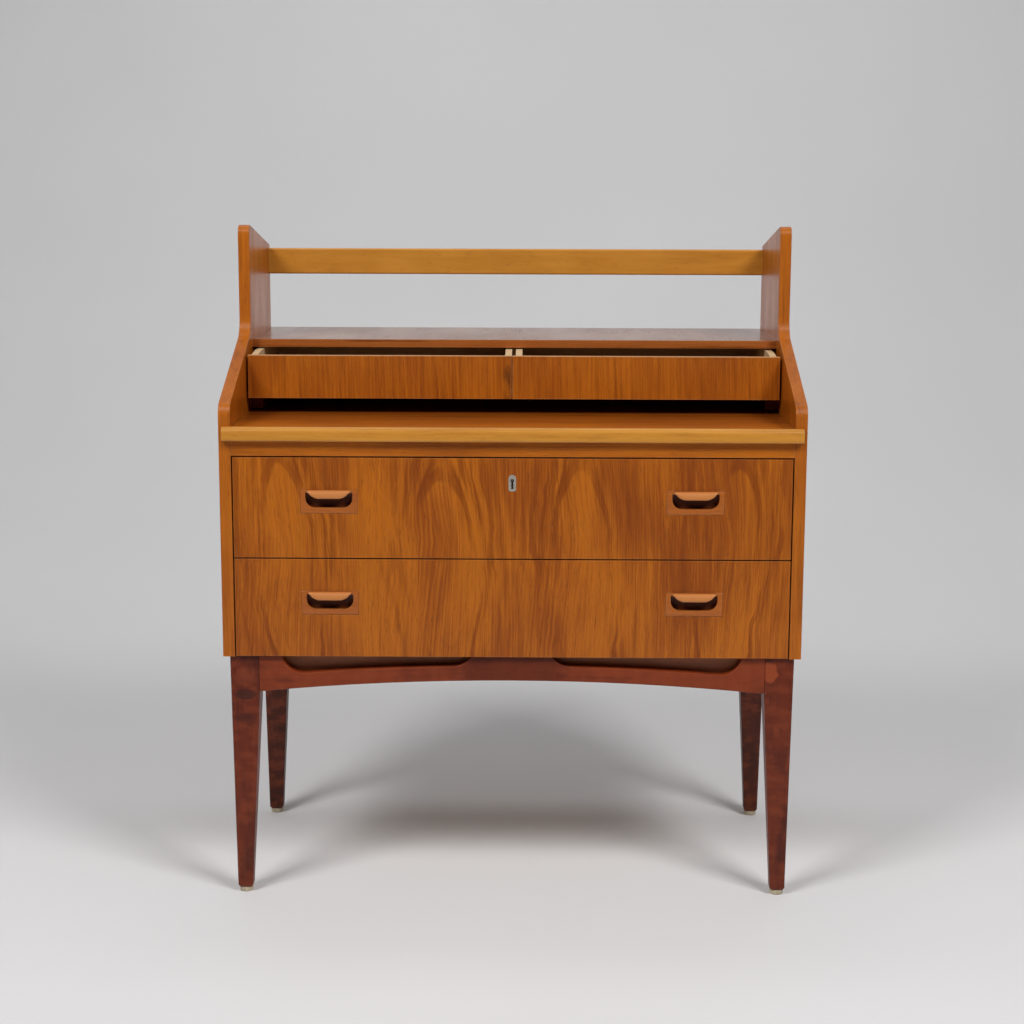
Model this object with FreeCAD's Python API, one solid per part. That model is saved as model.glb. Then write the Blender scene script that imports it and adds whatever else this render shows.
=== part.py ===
import FreeCAD, Part
import math
import os

os.makedirs("parts", exist_ok=True)
Point = FreeCAD.Vector

# A teak secretary desk: two shaped side panels carry a gallery shelf and rail, two low letter drawers,
# a pull-out writing leaf and two large drawers, and the case stands on a separate base of four legs.
# All sizes are in millimetres. x runs left to right with 0 in the middle, z runs up from the floor, and
# y runs back from the front plane of the case. save() moves y so that the desk is centred on its origin.

# --- case ---------------------------------------------------------------------------------------------
width = 900.0                  # over the side panels
case_depth = 502.0             # front plane to the back edges of the side panels
panel_thickness = 18.5
leg_height = 390.0             # floor to the underside of the case
arris = 1.2                    # rounding of the case's visible edges
case_bottom_thickness = 16.0
back_thickness = 5.0
rebate_width = 6.0             # rebate in the side panels that takes the back
rebate_depth = 8.0
back_play = 0.3

# --- upper part ---------------------------------------------------------------------------------------
upper_setback = 248.0          # front plane to the front edge of the upper, narrower part
low_elbow_lift = 34.0          # writing surface to the corner where the front edge turns back
low_elbow_radius = 22.0
high_elbow_lift = 13.0         # shelf top to the corner where it turns upright again
high_elbow_radius = 34.0
panel_rise_front = 50.0        # top rail to the top front corner of the side panels
panel_rise_back = 6.0
top_front_radius = 14.0
top_back_radius = 5.0
shelf_thickness = 13.5
shelf_recess = 14.5            # shelf edge behind the upper front edge
open_height = 94.2             # clear height between the shelf and the top rail
top_rail_height = 44.3
top_rail_thickness = 16.0
top_rail_rounding = 3.0

# --- writing leaf -------------------------------------------------------------------------------------
leaf_thickness = 16.0
leaf_side_play = 0.8
leaf_play = 0.7                # between the leaf and the rail and runners under it
leaf_upper_play = 2.2          # between the leaf and the drawer guides over its side edges
leaf_rear_gap = 16.0           # leaf to back panel
lip_height = 21.9
lip_reach = 12.0               # nose in front of the case
lip_overlap = 12.5             # onto the front edges of the side panels
lip_drop = 3.2                 # below the leaf
lip_front_play = 0.5
lip_upper_radius = 8.0
lip_lower_radius = 3.5
leaf_travel = 220.0
leaf_rail_height = 26.3        # fixed rail under the leaf
leaf_rail_thickness = 20.0
leaf_runner_width = 18.0
dust_board_thickness = 5.0
dust_board_lift = 1.0
stop_rail_width = 20.0
stop_pin_radius = 5.0
stop_pin_length = 18.0
stop_pin_inset = 60.0          # from the side panels
stop_pin_rear = 23.0           # from the rear edge of the leaf
stop_pin_bore = 8.0

# --- large drawers ------------------------------------------------------------------------------------
lower_front_height = 154.5
upper_front_height = 156.5
front_thickness = 18.0
front_gap = 2.0                # shadow gap round the fronts
bottom_gap = 1.0               # lower front to base frame
front_arris = 0.7
box_side_gap = 4.0             # drawer side to side panel
box_side_thickness = 12.0
box_back_thickness = 12.0
box_length = 440.0
box_height = 120.0
box_lift = 17.0                # front's lower edge to the drawer sides
box_back_drop = 8.0
box_bottom_thickness = 5.0
box_bottom_lift = 8.0
groove_depth = 5.0             # takes the drawer bottom
front_groove_depth = 6.0
runner_width = 10.0
runner_height = 14.0
runner_length = 450.0
runner_front = 24.0
runner_play = 0.6              # above and below the runner
runner_end_play = 1.0          # runner's face to the bottom of its groove

# --- small drawers ------------------------------------------------------------------------------------
small_front_setback = 180.0
small_front_lift = 24.6        # writing surface to the fronts' lower edge
small_front_height = 69.4
small_front_thickness = 12.0
small_front_play = 3.3         # front to side panel
small_front_meeting = 1.0      # gap where the two fronts meet
small_side_thickness = 10.5
small_side_inset = 5.0         # outer side behind the end of its front
small_side_rise = 3.5          # sides above the front
small_side_sweep = 60.0        # length of the curve from front height to full height
small_side_lift = 3.1          # front's lower edge to the sides
small_box_end = 470.0
small_back_drop = 6.0
small_bottom_thickness = 4.0
small_bottom_lift = 4.0
small_groove_depth = 4.0
small_play = 0.5               # drawer to the runner under it
shelf_play = 2.0               # drawer sides to the shelf
guide_width = 20.0
guide_front = 230.0
web_thickness = 5.0
web_play = 0.7
web_tongue = 5.0               # the web's tongue in the shelf
web_recess = 14.5              # web behind the shelf's front edge
flange_width = 28.0
flange_thickness = 5.0

# --- carved handles -----------------------------------------------------------------------------------
handle_width = 88.5
handle_height = 37.0
handle_depth = 24.0
handle_proud = 0.8
handle_offset = 281.8          # from the middle of the desk
upper_handle_lift = 88.4       # front's lower edge to the handle's centre
lower_handle_lift = 85.5
recess_width = 73.0
recess_top = 13.5              # above the handle's centre
recess_bottom = 9.5            # below it
recess_depth = 13.0
recess_upper_radius = 2.5
recess_lower_radius = 9.0
lip_half_top = 32.0
lip_half_bottom = 22.5
lip_low = 2.5                  # lip's lower edge above the handle's centre
lip_out = 9.5                  # lip in front of the drawer front
lip_wall = 5.0
handle_rounding = 1.0

# --- drawer lock --------------------------------------------------------------------------------------
key_drop = 34.5                # front's top edge to the key post
key_post_radius = 1.2
keyhole_radius = 2.6
keyhole_slot_width = 3.2
keyhole_slot_drop = 13.0
key_chamber_radius = 8.0
escutcheon_radius = 5.7
escutcheon_rise = 3.5          # key post to the centre of the round top
escutcheon_drop = 16.5         # key post to the lower edge
escutcheon_thickness = 3.0
escutcheon_proud = 0.4
escutcheon_corner = 3.0
lock_half_width = 25.0
lock_plate_half_width = 35.0
lock_height = 52.0
lock_plate_height = 56.0
lock_plate_thickness = 1.5
selvedge_thickness = 2.0
selvedge_front = 5.0
lock_front = 8.0               # front face of the lock's body behind the drawer face
bolt_half_width = 9.7
bolt_thickness = 5.0
bolt_height = 26.7
bolt_play = 0.3
bolt_throw = 8.0
strike_half_width = 30.0
strike_thickness = 1.5
strike_play = 1.0

# --- screws -------------------------------------------------------------------------------------------
case_screw = {"shank": 1.75, "head": 3.0, "head_height": 1.6, "length": 20.0}
base_screw = {"shank": 2.5, "head": 4.8, "head_height": 2.8, "length": 42.0}
lock_screw = {"shank": 1.4, "head": 2.7, "head_height": 1.3, "length": 12.0}
counterbore_radius = 3.8

# --- base ---------------------------------------------------------------------------------------------
leg_inset = 9.5                # outer face behind the side panel's outer face
leg_front_setback = 6.0
leg_top_size = 45.5
leg_foot_size = 23.6
leg_lean = 4.6                 # outer faces drawn in at the foot
leg_knee_drop = 62.0           # case to the point where the taper starts
leg_edge_radius = 3.0
foot_chamfer = 2.5
foot_chamfer_height = 4.0
rear_overhang = 74.0           # case behind the rear legs
apron_recess = 1.5
apron_thickness = 20.0
front_apron_end = 58.0         # apron's height at the legs
front_apron_middle = 38.6
plain_apron_end = 45.0
plain_apron_middle = 37.0
slot_inner = 59.0              # slots in the front apron, measured from the middle
slot_outer = 358.6
slot_bar = 23.6                # height of the bar under the slots
slot_radius = 33.0
stiffener_height = 35.0        # rail behind the slotted apron
stiffener_thickness = 18.0
block_height = 30.0
block_leg = 60.0
glide_radius = 10.6
glide_height = 7.5
glide_rounding = 1.5
glide_nail_radius = 1.5
glide_nail_length = 15.0

# --- places worked out from the sizes -----------------------------------------------------------------
outer = width / 2
inner = outer - panel_thickness

lower_front_z = leg_height + bottom_gap
upper_front_z = lower_front_z + lower_front_height + front_gap
upper_front_top = upper_front_z + upper_front_height
leaf_rail_z = upper_front_top + front_gap
leaf_rail_top = leaf_rail_z + leaf_rail_height
leaf_z = leaf_rail_top + leaf_play
leaf_top = leaf_z + leaf_thickness
small_front_z = leaf_top + small_front_lift
small_front_top = small_front_z + small_front_height
small_side_z = small_front_z + small_side_lift
small_side_top = small_front_top + small_side_rise
shelf_z = small_side_top + shelf_play
shelf_top = shelf_z + shelf_thickness
top_rail_z = shelf_top + open_height
top_rail_top = top_rail_z + top_rail_height

back_y = case_depth - rebate_depth
shelf_front = upper_setback + shelf_recess
leaf_rear = back_y - leaf_rear_gap
frame_back = case_depth - rear_overhang
leg_outer = outer - leg_inset
leg_inner = leg_outer - leg_top_size
knee_z = leg_height - leg_knee_drop
dust_board_top = leaf_rail_z + dust_board_lift + dust_board_thickness
box_outer = inner - box_side_gap
box_inner = box_outer - box_side_thickness
box_rear = front_thickness + box_length


def save(name, shape):
    centred = shape.translated(Point(0, (lip_reach - case_depth) / 2, 0))
    centred.exportStep("parts/" + name + ".step")


def block(x0, x1, y0, y1, z0, z1):
    return Part.makeBox(abs(x1 - x0), y1 - y0, z1 - z0, Point(min(x0, x1), y0, z0))


def rod(radius, start, direction, length):
    return Part.makeCylinder(radius, length, start, direction)


def middle(edge):
    return edge.valueAt((edge.FirstParameter + edge.LastParameter) / 2)


def rounded(shape, radius, wanted):
    return shape.makeFillet(radius, [edge for edge in shape.Edges if wanted(edge)])


def runs_along(edge, axis):
    start, end = edge.Vertexes[0].Point, edge.Vertexes[-1].Point
    return abs(abs((end - start).normalize().dot(axis)) - 1) < 1e-6


def tangent_corner(before, corner, after, radius):
    # where a corner's arc starts, its middle and where it ends
    back = (before - corner).normalize()
    ahead = (after - corner).normalize()
    half = math.acos(back.dot(ahead)) / 2
    bisector = (back + ahead).normalize()
    reach = radius / math.tan(half)
    crown = radius / math.sin(half) - radius
    return corner + back * reach, corner + bisector * crown, corner + ahead * reach


def outline(corners):
    # closed wire through (point, radius) corners, with a tangent arc at each corner that has a radius
    edges = []
    joints = []
    for index, (point, radius) in enumerate(corners):
        before = corners[index - 1][0]
        after = corners[(index + 1) % len(corners)][0]
        if radius:
            start, crown, end = tangent_corner(before, point, after, radius)
            edges.append(Part.Arc(start, crown, end).toShape())
            joints.append((start, end))
        else:
            joints.append((point, point))
    for index, (_, end) in enumerate(joints):
        edges.append(Part.makeLine(end, joints[(index + 1) % len(joints)][0]))
    return Part.Wire(Part.__sortEdges__(edges))


def extruded(wire, direction):
    return Part.Face(wire).extrude(direction)


def upright_slab(x, thickness, corners):
    # a board standing in the y-z plane, from (y, z, radius) corners
    wire = outline([(Point(x, y, z), radius) for y, z, radius in corners])
    return extruded(wire, Point(thickness, 0, 0))


def facing_slab(y, thickness, corners):
    # a board facing front, from (x, z, radius) corners
    wire = outline([(Point(x, y, z), radius) for x, z, radius in corners])
    return extruded(wire, Point(0, thickness, 0))


def screw(size, head_at, direction):
    head = Part.makeCone(size["head"], size["shank"], size["head_height"], head_at, direction)
    shank = rod(size["shank"], head_at, direction, size["length"])
    return head.fuse(shank)


def together(shapes):
    return Part.makeCompound(shapes)


# --- screws of the case -------------------------------------------------------------------------------

def runner_z(front_z):
    return front_z + box_lift + box_height / 2


def side_screws():
    # driven outwards through the runners and guides into the side panels
    screws = []
    bores = []
    head_x = inner - runner_width
    rows = [(runner_z(front_z), (60.0, 240.0, 440.0)) for front_z in (lower_front_z, upper_front_z)]
    rows.append(((dust_board_top + leaf_rail_top) / 2, (60.0, 240.0, 440.0)))
    rows.append(((leaf_top + leaf_upper_play + small_side_z) / 2, (270.0, 440.0)))
    for side in (-1, 1):
        for z, places in rows:
            for y in places:
                screws.append(screw(case_screw, Point(side * head_x, y, z), Point(side, 0, 0)))
                bores.append(rod(counterbore_radius, Point(side * head_x, y, z), Point(-side, 0, 0), 10))
    return screws, bores


def back_screws():
    # driven forwards through the back into the side panels and the case bottom
    face_y = back_y + back_thickness
    edge_x = inner + rebate_width / 2 - 0.2
    heights = [leg_height + 30 + 100 * step for step in range(5)]
    screws = []
    for side in (-1, 1):
        for z in heights:
            screws.append(screw(case_screw, Point(side * edge_x, face_y, z), Point(0, -1, 0)))
    for x in (-300.0, 0.0, 300.0):
        z = leg_height + case_bottom_thickness / 2
        screws.append(screw(case_screw, Point(x, face_y, z), Point(0, -1, 0)))
    return screws


side_screw_list, counterbore_list = side_screws()
case_screws = together(side_screw_list + back_screws())
counterbores = together(counterbore_list)


# --- base frame ---------------------------------------------------------------------------------------

def foot_centre():
    return leg_outer - leg_lean - leg_foot_size / 2


def foot_y(front):
    offset = leg_lean + leg_foot_size / 2
    return leg_front_setback + offset if front else frame_back - offset


def leg(side, front):
    sections = [
        (leg_height, 0.0, leg_top_size),
        (knee_z, leg_lean / 6, leg_top_size - leg_lean / 6),
        (glide_height + foot_chamfer_height, leg_lean, leg_foot_size),
        (glide_height, leg_lean + foot_chamfer, leg_foot_size - 2 * foot_chamfer),
    ]
    wires = []
    for z, inset, size in sections:
        x0 = leg_outer - inset
        x1 = x0 - size
        y0 = leg_front_setback + inset if front else frame_back - inset
        y1 = y0 + size if front else y0 - size
        corners = [(x0, y0), (x1, y0), (x1, y1), (x0, y1)]
        wires.append(outline([(Point(side * x, y, z), leg_edge_radius) for x, y in corners]))
    nail = rod(glide_nail_radius, Point(side * foot_centre(), foot_y(front), glide_height),
               Point(0, 0, 1), glide_nail_length)
    return Part.makeLoft(wires, True, True).cut(nail)


def arched_rail(start, end, thickness, end_height, middle_height, place):
    # a rail with a straight top and a shallow arc below; place(along, across, z) sets its direction
    def at(along, z):
        return place(along, 0, z)
    centre = (start + end) / 2
    low = [at(start, leg_height - end_height), at(centre, leg_height - middle_height),
           at(end, leg_height - end_height)]
    top = [at(end, leg_height), at(start, leg_height)]
    edges = [Part.Arc(*low).toShape(), Part.makeLine(low[2], top[0]), Part.makeLine(top[0], top[1]),
             Part.makeLine(top[1], low[0])]
    across = place(start, thickness, 0) - place(start, 0, 0)
    return extruded(Part.Wire(edges), across)


apron_front = leg_front_setback + apron_recess


def slot_floor(x):
    # height of the bar's upper edge, which follows the arc of the apron's lower edge
    drop = front_apron_end - front_apron_middle
    return leg_height - front_apron_middle + slot_bar - drop * (x / leg_inner) ** 2


def apron_slot(side):
    between = (slot_inner + slot_outer) / 2
    floor = [Point(side * x, apron_front - 1, slot_floor(x)) for x in (slot_inner, between, slot_outer)]
    top_z = leg_height + 25
    over = [Point(side * slot_outer, apron_front - 1, top_z), Point(side * slot_inner, apron_front - 1, top_z)]
    edges = [Part.Arc(*floor).toShape(), Part.makeLine(floor[2], over[0]), Part.makeLine(over[0], over[1]),
             Part.makeLine(over[1], floor[0])]
    slot = extruded(Part.Wire(edges), Point(0, apron_thickness + 2, 0))
    for x in (slot_inner, slot_outer):
        slot = rounded(slot, slot_radius, lambda edge, x=x: runs_along(edge, Point(0, 1, 0))
                       and abs(abs(middle(edge).x) - x) < 0.01 and middle(edge).z < leg_height)
    return slot


def front_apron():
    apron = arched_rail(-leg_inner, leg_inner, apron_thickness, front_apron_end, front_apron_middle,
                        lambda along, across, z: Point(along, apron_front + across, z))
    for side in (-1, 1):
        apron = apron.cut(apron_slot(side))
    return apron


def rear_apron():
    return arched_rail(-leg_inner, leg_inner, -apron_thickness, plain_apron_end, plain_apron_middle,
                       lambda along, across, z: Point(along, frame_back - apron_recess + across, z))


def side_apron(side):
    face = leg_outer - apron_recess
    start = leg_front_setback + leg_top_size
    end = frame_back - leg_top_size
    return arched_rail(start, end, apron_thickness, plain_apron_end, plain_apron_middle,
                       lambda along, across, z: Point(side * (face - across), along, z))


stiffener_front = apron_front + apron_thickness
stiffener_back = stiffener_front + stiffener_thickness
side_apron_inner = leg_outer - apron_recess - apron_thickness
rear_apron_front = frame_back - apron_recess - apron_thickness


def corner_block(side, front):
    # a brace in the corner of the frame, notched round the leg
    wall_y = stiffener_back if front else rear_apron_front
    leg_y = leg_front_setback + leg_top_size if front else frame_back - leg_top_size
    along_side = leg_y + block_leg if front else leg_y - block_leg
    points = [(side_apron_inner, leg_y), (side_apron_inner, along_side), (leg_inner - block_leg, wall_y),
              (leg_inner, wall_y), (leg_inner, leg_y)]
    wire = Part.makePolygon([Point(side * x, y, leg_height - block_height) for x, y in points + points[:1]])
    return extruded(wire, Point(0, 0, block_height))


def base_screw_at(side, front):
    leg_y = leg_front_setback + leg_top_size if front else frame_back - leg_top_size
    y = leg_y + block_leg / 4 if front else leg_y - block_leg / 4
    x = side * (leg_inner - block_leg / 8)
    return screw(base_screw, Point(x, y, leg_height - block_height), Point(0, 0, 1))


corners_of_frame = [(side, front) for side in (-1, 1) for front in (True, False)]
base_screws = together([base_screw_at(side, front) for side, front in corners_of_frame])


def glide(side, front):
    disc = rod(glide_radius, Point(side * foot_centre(), foot_y(front), 0), Point(0, 0, 1), glide_height)
    disc = rounded(disc, glide_rounding, lambda edge: middle(edge).z < 0.01 and edge.Length > glide_radius)
    nail = rod(glide_nail_radius, Point(side * foot_centre(), foot_y(front), glide_height),
               Point(0, 0, 1), glide_nail_length)
    return disc.fuse(nail)


# --- case ---------------------------------------------------------------------------------------------

def side_panel(side):
    corners = [
        (0, leg_height, 0),
        (0, leaf_top + low_elbow_lift, low_elbow_radius),
        (upper_setback, shelf_top + high_elbow_lift, high_elbow_radius),
        (upper_setback, top_rail_top + panel_rise_front, top_front_radius),
        (case_depth, top_rail_top + panel_rise_back, top_back_radius),
        (case_depth, leg_height, 0),
    ]
    panel = upright_slab(side * inner, side * panel_thickness, corners)
    panel = rounded(panel, arris, lambda edge: not runs_along(edge, Point(1, 0, 0))
                    and middle(edge).y < case_depth - 0.1 and middle(edge).z > leg_height + 0.1)
    rebate = block(side * inner, side * (inner + rebate_width), back_y, case_depth + 1, leg_height - 1,
                   shelf_z)
    return panel.cut(rebate).cut(case_screws)


def shelf():
    board = block(-inner, inner, shelf_front, case_depth, shelf_z, shelf_top)
    board = rounded(board, arris, lambda edge: abs(middle(edge).y - shelf_front) < 0.01
                    and runs_along(edge, Point(1, 0, 0)))
    return board.cut(centre_runner())


def top_rail():
    rail = block(-inner, inner, case_depth - top_rail_thickness, case_depth, top_rail_z, top_rail_top)
    return rounded(rail, top_rail_rounding, lambda edge: runs_along(edge, Point(1, 0, 0)))


def case_bottom():
    front = front_thickness + runner_end_play
    board = block(-inner, inner, front, back_y, leg_height, leg_height + case_bottom_thickness)
    return board.cut(base_screws).cut(case_screws)


def back_panel():
    half = inner + rebate_width - back_play
    board = block(-half, half, back_y, back_y + back_thickness, leg_height, shelf_z)
    return board.cut(case_screws)


def leaf_rail():
    rail = block(-inner, inner, 0, leaf_rail_thickness, leaf_rail_z, leaf_rail_top)
    rail = rounded(rail, arris, lambda edge: middle(edge).y < 0.01 and runs_along(edge, Point(1, 0, 0)))
    return rail.cut(strike_plate()).cut(strike_screws()).cut(bolt_mortise())


def dust_board():
    return block(-inner, inner, leaf_rail_thickness, back_y, leaf_rail_z + dust_board_lift, dust_board_top)


def leaf_runner(side):
    runner = block(side * inner, side * (inner - leaf_runner_width), leaf_rail_thickness, leaf_rear,
                   dust_board_top, leaf_rail_top)
    return runner.cut(case_screws).cut(counterbores)


def drawer_guide(side):
    # holds the leaf down from above and carries the outer side of a small drawer
    guide = block(side * inner, side * (inner - guide_width), guide_front, small_box_end,
                  leaf_top + leaf_upper_play, small_side_z - small_play)
    return guide.cut(case_screws).cut(counterbores)


def centre_runner():
    # hangs from the shelf between the small drawers and carries their inner sides
    top = small_side_z - small_play
    flange = block(-flange_width / 2, flange_width / 2, guide_front, small_box_end, top - flange_thickness,
                   top)
    web = block(-web_thickness / 2, web_thickness / 2, shelf_front + web_recess, small_box_end, top,
                shelf_z + web_tongue)
    return flange.fuse(web)


def large_runner(side, front_z):
    z = runner_z(front_z)
    runner = block(side * inner, side * (inner - runner_width), runner_front, runner_front + runner_length,
                   z - runner_height / 2, z + runner_height / 2)
    return runner.cut(case_screws)


# --- writing leaf -------------------------------------------------------------------------------------

def stop_pin(side):
    return rod(stop_pin_radius, Point(side * (inner - stop_pin_inset), leaf_rear - stop_pin_rear,
                                      leaf_z + stop_pin_bore), Point(0, 0, -1), stop_pin_length)


def leaf_board():
    half = inner - leaf_side_play
    board = block(-half, half, -lip_front_play, leaf_rear, leaf_z, leaf_top)
    return board.cut(together([stop_pin(-1), stop_pin(1)]))


def leaf_lip():
    half = inner + lip_overlap
    z0 = leaf_z - lip_drop
    lip = block(-half, half, -lip_reach, -lip_front_play, z0, z0 + lip_height)
    for radius, z in ((lip_upper_radius, z0 + lip_height), (lip_lower_radius, z0)):
        lip = rounded(lip, radius, lambda edge, z=z: runs_along(edge, Point(1, 0, 0))
                      and middle(edge).y < -lip_reach + 0.01 and abs(middle(edge).z - z) < 0.01)
    return lip


def leaf_stop_rail():
    # the stop pins meet its rear face when the leaf is fully out
    rear = leaf_rear - stop_pin_rear - stop_pin_radius - leaf_travel - leaf_play
    half = inner - leaf_runner_width
    return block(-half, half, rear - stop_rail_width, rear, dust_board_top, leaf_rail_top)


# --- large drawers ------------------------------------------------------------------------------------

def large_box_bottom(front_z):
    z = front_z + box_lift + box_bottom_lift
    half = box_inner + groove_depth
    return block(-half, half, front_thickness - front_groove_depth, box_rear, z, z + box_bottom_thickness)


def large_box_side(side, front_z):
    z0 = front_z + box_lift
    board = block(side * box_outer, side * box_inner, front_thickness, box_rear, z0, z0 + box_height)
    groove_floor = inner - runner_width - runner_end_play
    half = runner_height / 2 + runner_play
    z = runner_z(front_z)
    groove = block(side * (box_outer + 1), side * groove_floor, front_thickness, box_rear, z - half, z + half)
    return board.cut(groove).cut(large_box_bottom(front_z))


def large_box_back(front_z):
    z0 = front_z + box_lift + box_bottom_lift + box_bottom_thickness
    return block(-box_inner, box_inner, box_rear - box_back_thickness, box_rear, z0,
                 front_z + box_lift + box_height - box_back_drop)


def handle_block(x, z):
    half = handle_width / 2
    return block(x - half, x + half, -handle_proud, handle_depth, z - handle_height / 2,
                 z + handle_height / 2)


def handle(x, z):
    # a block let into the front, scooped out, with a tray-shaped lip over the scoop
    body = handle_block(x, z)
    body = rounded(body, handle_rounding, lambda edge: middle(edge).y < -handle_proud + 0.01)
    half = recess_width / 2
    scoop = facing_slab(-handle_proud - 1, recess_depth + handle_proud + 1, [
        (x - half, z + recess_top, recess_upper_radius), (x + half, z + recess_top, recess_upper_radius),
        (x + half, z - recess_bottom, recess_lower_radius), (x - half, z - recess_bottom, recess_lower_radius)])
    top = z + handle_height / 2 - handle_rounding
    section = upright_slab(x - lip_half_top, 2 * lip_half_top, [
        (recess_depth / 4, top, 0), (-lip_out, top - lip_wall / 2, 2), (-lip_out, z + lip_low, 1),
        (-lip_out + lip_wall / 2, z + lip_low, 1), (-lip_out + lip_wall, z + recess_top - lip_wall / 2, 2),
        (recess_depth / 4, z + recess_top, 0)])
    front_view = facing_slab(-lip_out - 1, lip_out + 1 + recess_depth, [
        (x - lip_half_top, top + 1, 0), (x + lip_half_top, top + 1, 0),
        (x + lip_half_bottom, z + lip_low, 4), (x - lip_half_bottom, z + lip_low, 4)])
    return body.cut(scoop).fuse(section.common(front_view)).removeSplitter()


def large_front(front_z, height, handle_z):
    half = inner - front_gap
    front = block(-half, half, 0, front_thickness, front_z, front_z + height)
    front = rounded(front, front_arris, lambda edge: middle(edge).y < 0.01)
    front = front.cut(large_box_bottom(front_z))
    for side in (-1, 1):
        front = front.cut(handle_block(side * handle_offset, handle_z))
    return front


def save_large_drawer(name, front_z, front, handle_z):
    save(name + "_drawer_front", front)
    save(name + "_drawer_left_side", large_box_side(-1, front_z))
    save(name + "_drawer_right_side", large_box_side(1, front_z))
    save(name + "_drawer_back", large_box_back(front_z))
    save(name + "_drawer_bottom", large_box_bottom(front_z))
    save(name + "_drawer_left_handle", handle(-handle_offset, handle_z))
    save(name + "_drawer_right_handle", handle(handle_offset, handle_z))


# --- drawer lock --------------------------------------------------------------------------------------

key_z = upper_front_top - key_drop
bolt_y = lock_front + (front_thickness - lock_front) / 2 - bolt_thickness / 2


def keyhole(y0, y1):
    drum = rod(keyhole_radius, Point(0, y0, key_z), Point(0, 1, 0), y1 - y0)
    half = keyhole_slot_width / 2
    return drum.fuse(block(-half, half, y0, y1, key_z - keyhole_slot_drop, key_z))


def escutcheon_body():
    drum = rod(escutcheon_radius, Point(0, -escutcheon_proud, key_z + escutcheon_rise), Point(0, 1, 0),
               escutcheon_thickness)
    apron = facing_slab(-escutcheon_proud, escutcheon_thickness, [
        (-escutcheon_radius, key_z + escutcheon_rise, 0), (escutcheon_radius, key_z + escutcheon_rise, 0),
        (escutcheon_radius, key_z - escutcheon_drop, escutcheon_corner),
        (-escutcheon_radius, key_z - escutcheon_drop, escutcheon_corner)])
    return drum.fuse(apron).removeSplitter()


def lock_solid():
    body = block(-lock_half_width, lock_half_width, lock_front, front_thickness,
                 upper_front_top - lock_height, upper_front_top)
    plate = block(-lock_plate_half_width, lock_plate_half_width, front_thickness,
                  front_thickness + lock_plate_thickness, upper_front_top - lock_plate_height,
                  upper_front_top)
    selvedge = block(-lock_plate_half_width, lock_plate_half_width, selvedge_front, front_thickness,
                     upper_front_top - selvedge_thickness, upper_front_top)
    return body.fuse(plate).fuse(selvedge).removeSplitter()


def bolt_space():
    half = bolt_half_width + bolt_play
    return block(-half, half, bolt_y - bolt_play, bolt_y + bolt_thickness + bolt_play,
                 upper_front_top - bolt_height - 2 * bolt_play, upper_front_top + 1)


def lock_case():
    chamber = rod(key_chamber_radius, Point(0, bolt_y - bolt_play, key_z), Point(0, 1, 0),
                  bolt_thickness + 2 * bolt_play)
    post = rod(key_post_radius, Point(0, escutcheon_thickness, key_z), Point(0, 1, 0),
               front_thickness - escutcheon_thickness)
    hollow = lock_solid().cut(bolt_space()).cut(chamber).cut(keyhole(lock_front - 1, bolt_y))
    return hollow.cut(lock_screws()).fuse(post).removeSplitter()


def lock_bolt():
    return block(-bolt_half_width, bolt_half_width, bolt_y, bolt_y + bolt_thickness,
                 upper_front_top - bolt_height - bolt_play, upper_front_top - bolt_play)


def lock_screws():
    face_y = front_thickness + lock_plate_thickness
    x = (lock_half_width + lock_plate_half_width) / 2 + 0.5
    low = upper_front_top - lock_plate_height + 7
    high = upper_front_top - 8
    return together([screw(lock_screw, Point(side * x, face_y, z), Point(0, -1, 0))
                     for side in (-1, 1) for z in (low, high)])


def bolt_mortise():
    half = bolt_half_width + strike_play
    return block(-half, half, bolt_y - strike_play, bolt_y + bolt_thickness + strike_play, leaf_rail_z,
                 leaf_rail_z + bolt_throw)


def strike_plate():
    plate = block(-strike_half_width, strike_half_width, selvedge_front, front_thickness, leaf_rail_z,
                  leaf_rail_z + strike_thickness)
    return plate.cut(bolt_mortise())


def strike_screws():
    x = (bolt_half_width + strike_half_width) / 2 + 1
    y = (selvedge_front + front_thickness) / 2
    return together([screw(lock_screw, Point(side * x, y, leaf_rail_z), Point(0, 0, 1)) for side in (-1, 1)])


# --- small drawers ------------------------------------------------------------------------------------

small_outer = inner - small_front_play
small_box_outer = small_outer - small_side_inset
small_inner = web_thickness / 2 + web_play
small_side_front = small_front_setback + small_front_thickness


def small_bottom(side):
    z = small_side_z + small_bottom_lift
    x0 = small_box_outer - small_side_thickness + small_groove_depth
    x1 = small_inner + small_side_thickness - small_groove_depth
    return block(side * x0, side * x1, small_side_front - small_groove_depth, small_box_end, z,
                 z + small_bottom_thickness)


def small_front(side):
    # the right front reaches over the gap between the two drawers
    meeting = small_inner if side < 0 else small_front_meeting - small_inner
    front = block(side * small_outer, side * meeting, small_front_setback, small_side_front, small_front_z,
                  small_front_top)
    front = rounded(front, front_arris, lambda edge: middle(edge).y < small_front_setback + 0.01)
    return front.cut(small_bottom(side))


def small_side(x, side):
    # the top edge sweeps up from the front's height
    start = Point(x, small_side_front, small_front_top)
    crest = Point(x, small_side_front + small_side_sweep, small_side_top)
    radius = (small_side_sweep ** 2 + small_side_rise ** 2) / (2 * small_side_rise)
    half_turn = math.asin(small_side_sweep / radius) / 2
    crown = Point(x, crest.y - radius * math.sin(half_turn), crest.z - radius * (1 - math.cos(half_turn)))
    rear = [Point(x, small_box_end, small_side_top), Point(x, small_box_end, small_side_z),
            Point(x, small_side_front, small_side_z)]
    edges = [Part.Arc(start, crown, crest).toShape(), Part.makeLine(crest, rear[0]),
             Part.makeLine(rear[0], rear[1]), Part.makeLine(rear[1], rear[2]), Part.makeLine(rear[2], start)]
    board = extruded(Part.Wire(edges), Point(small_side_thickness, 0, 0))
    return board.cut(small_bottom(side))


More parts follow.
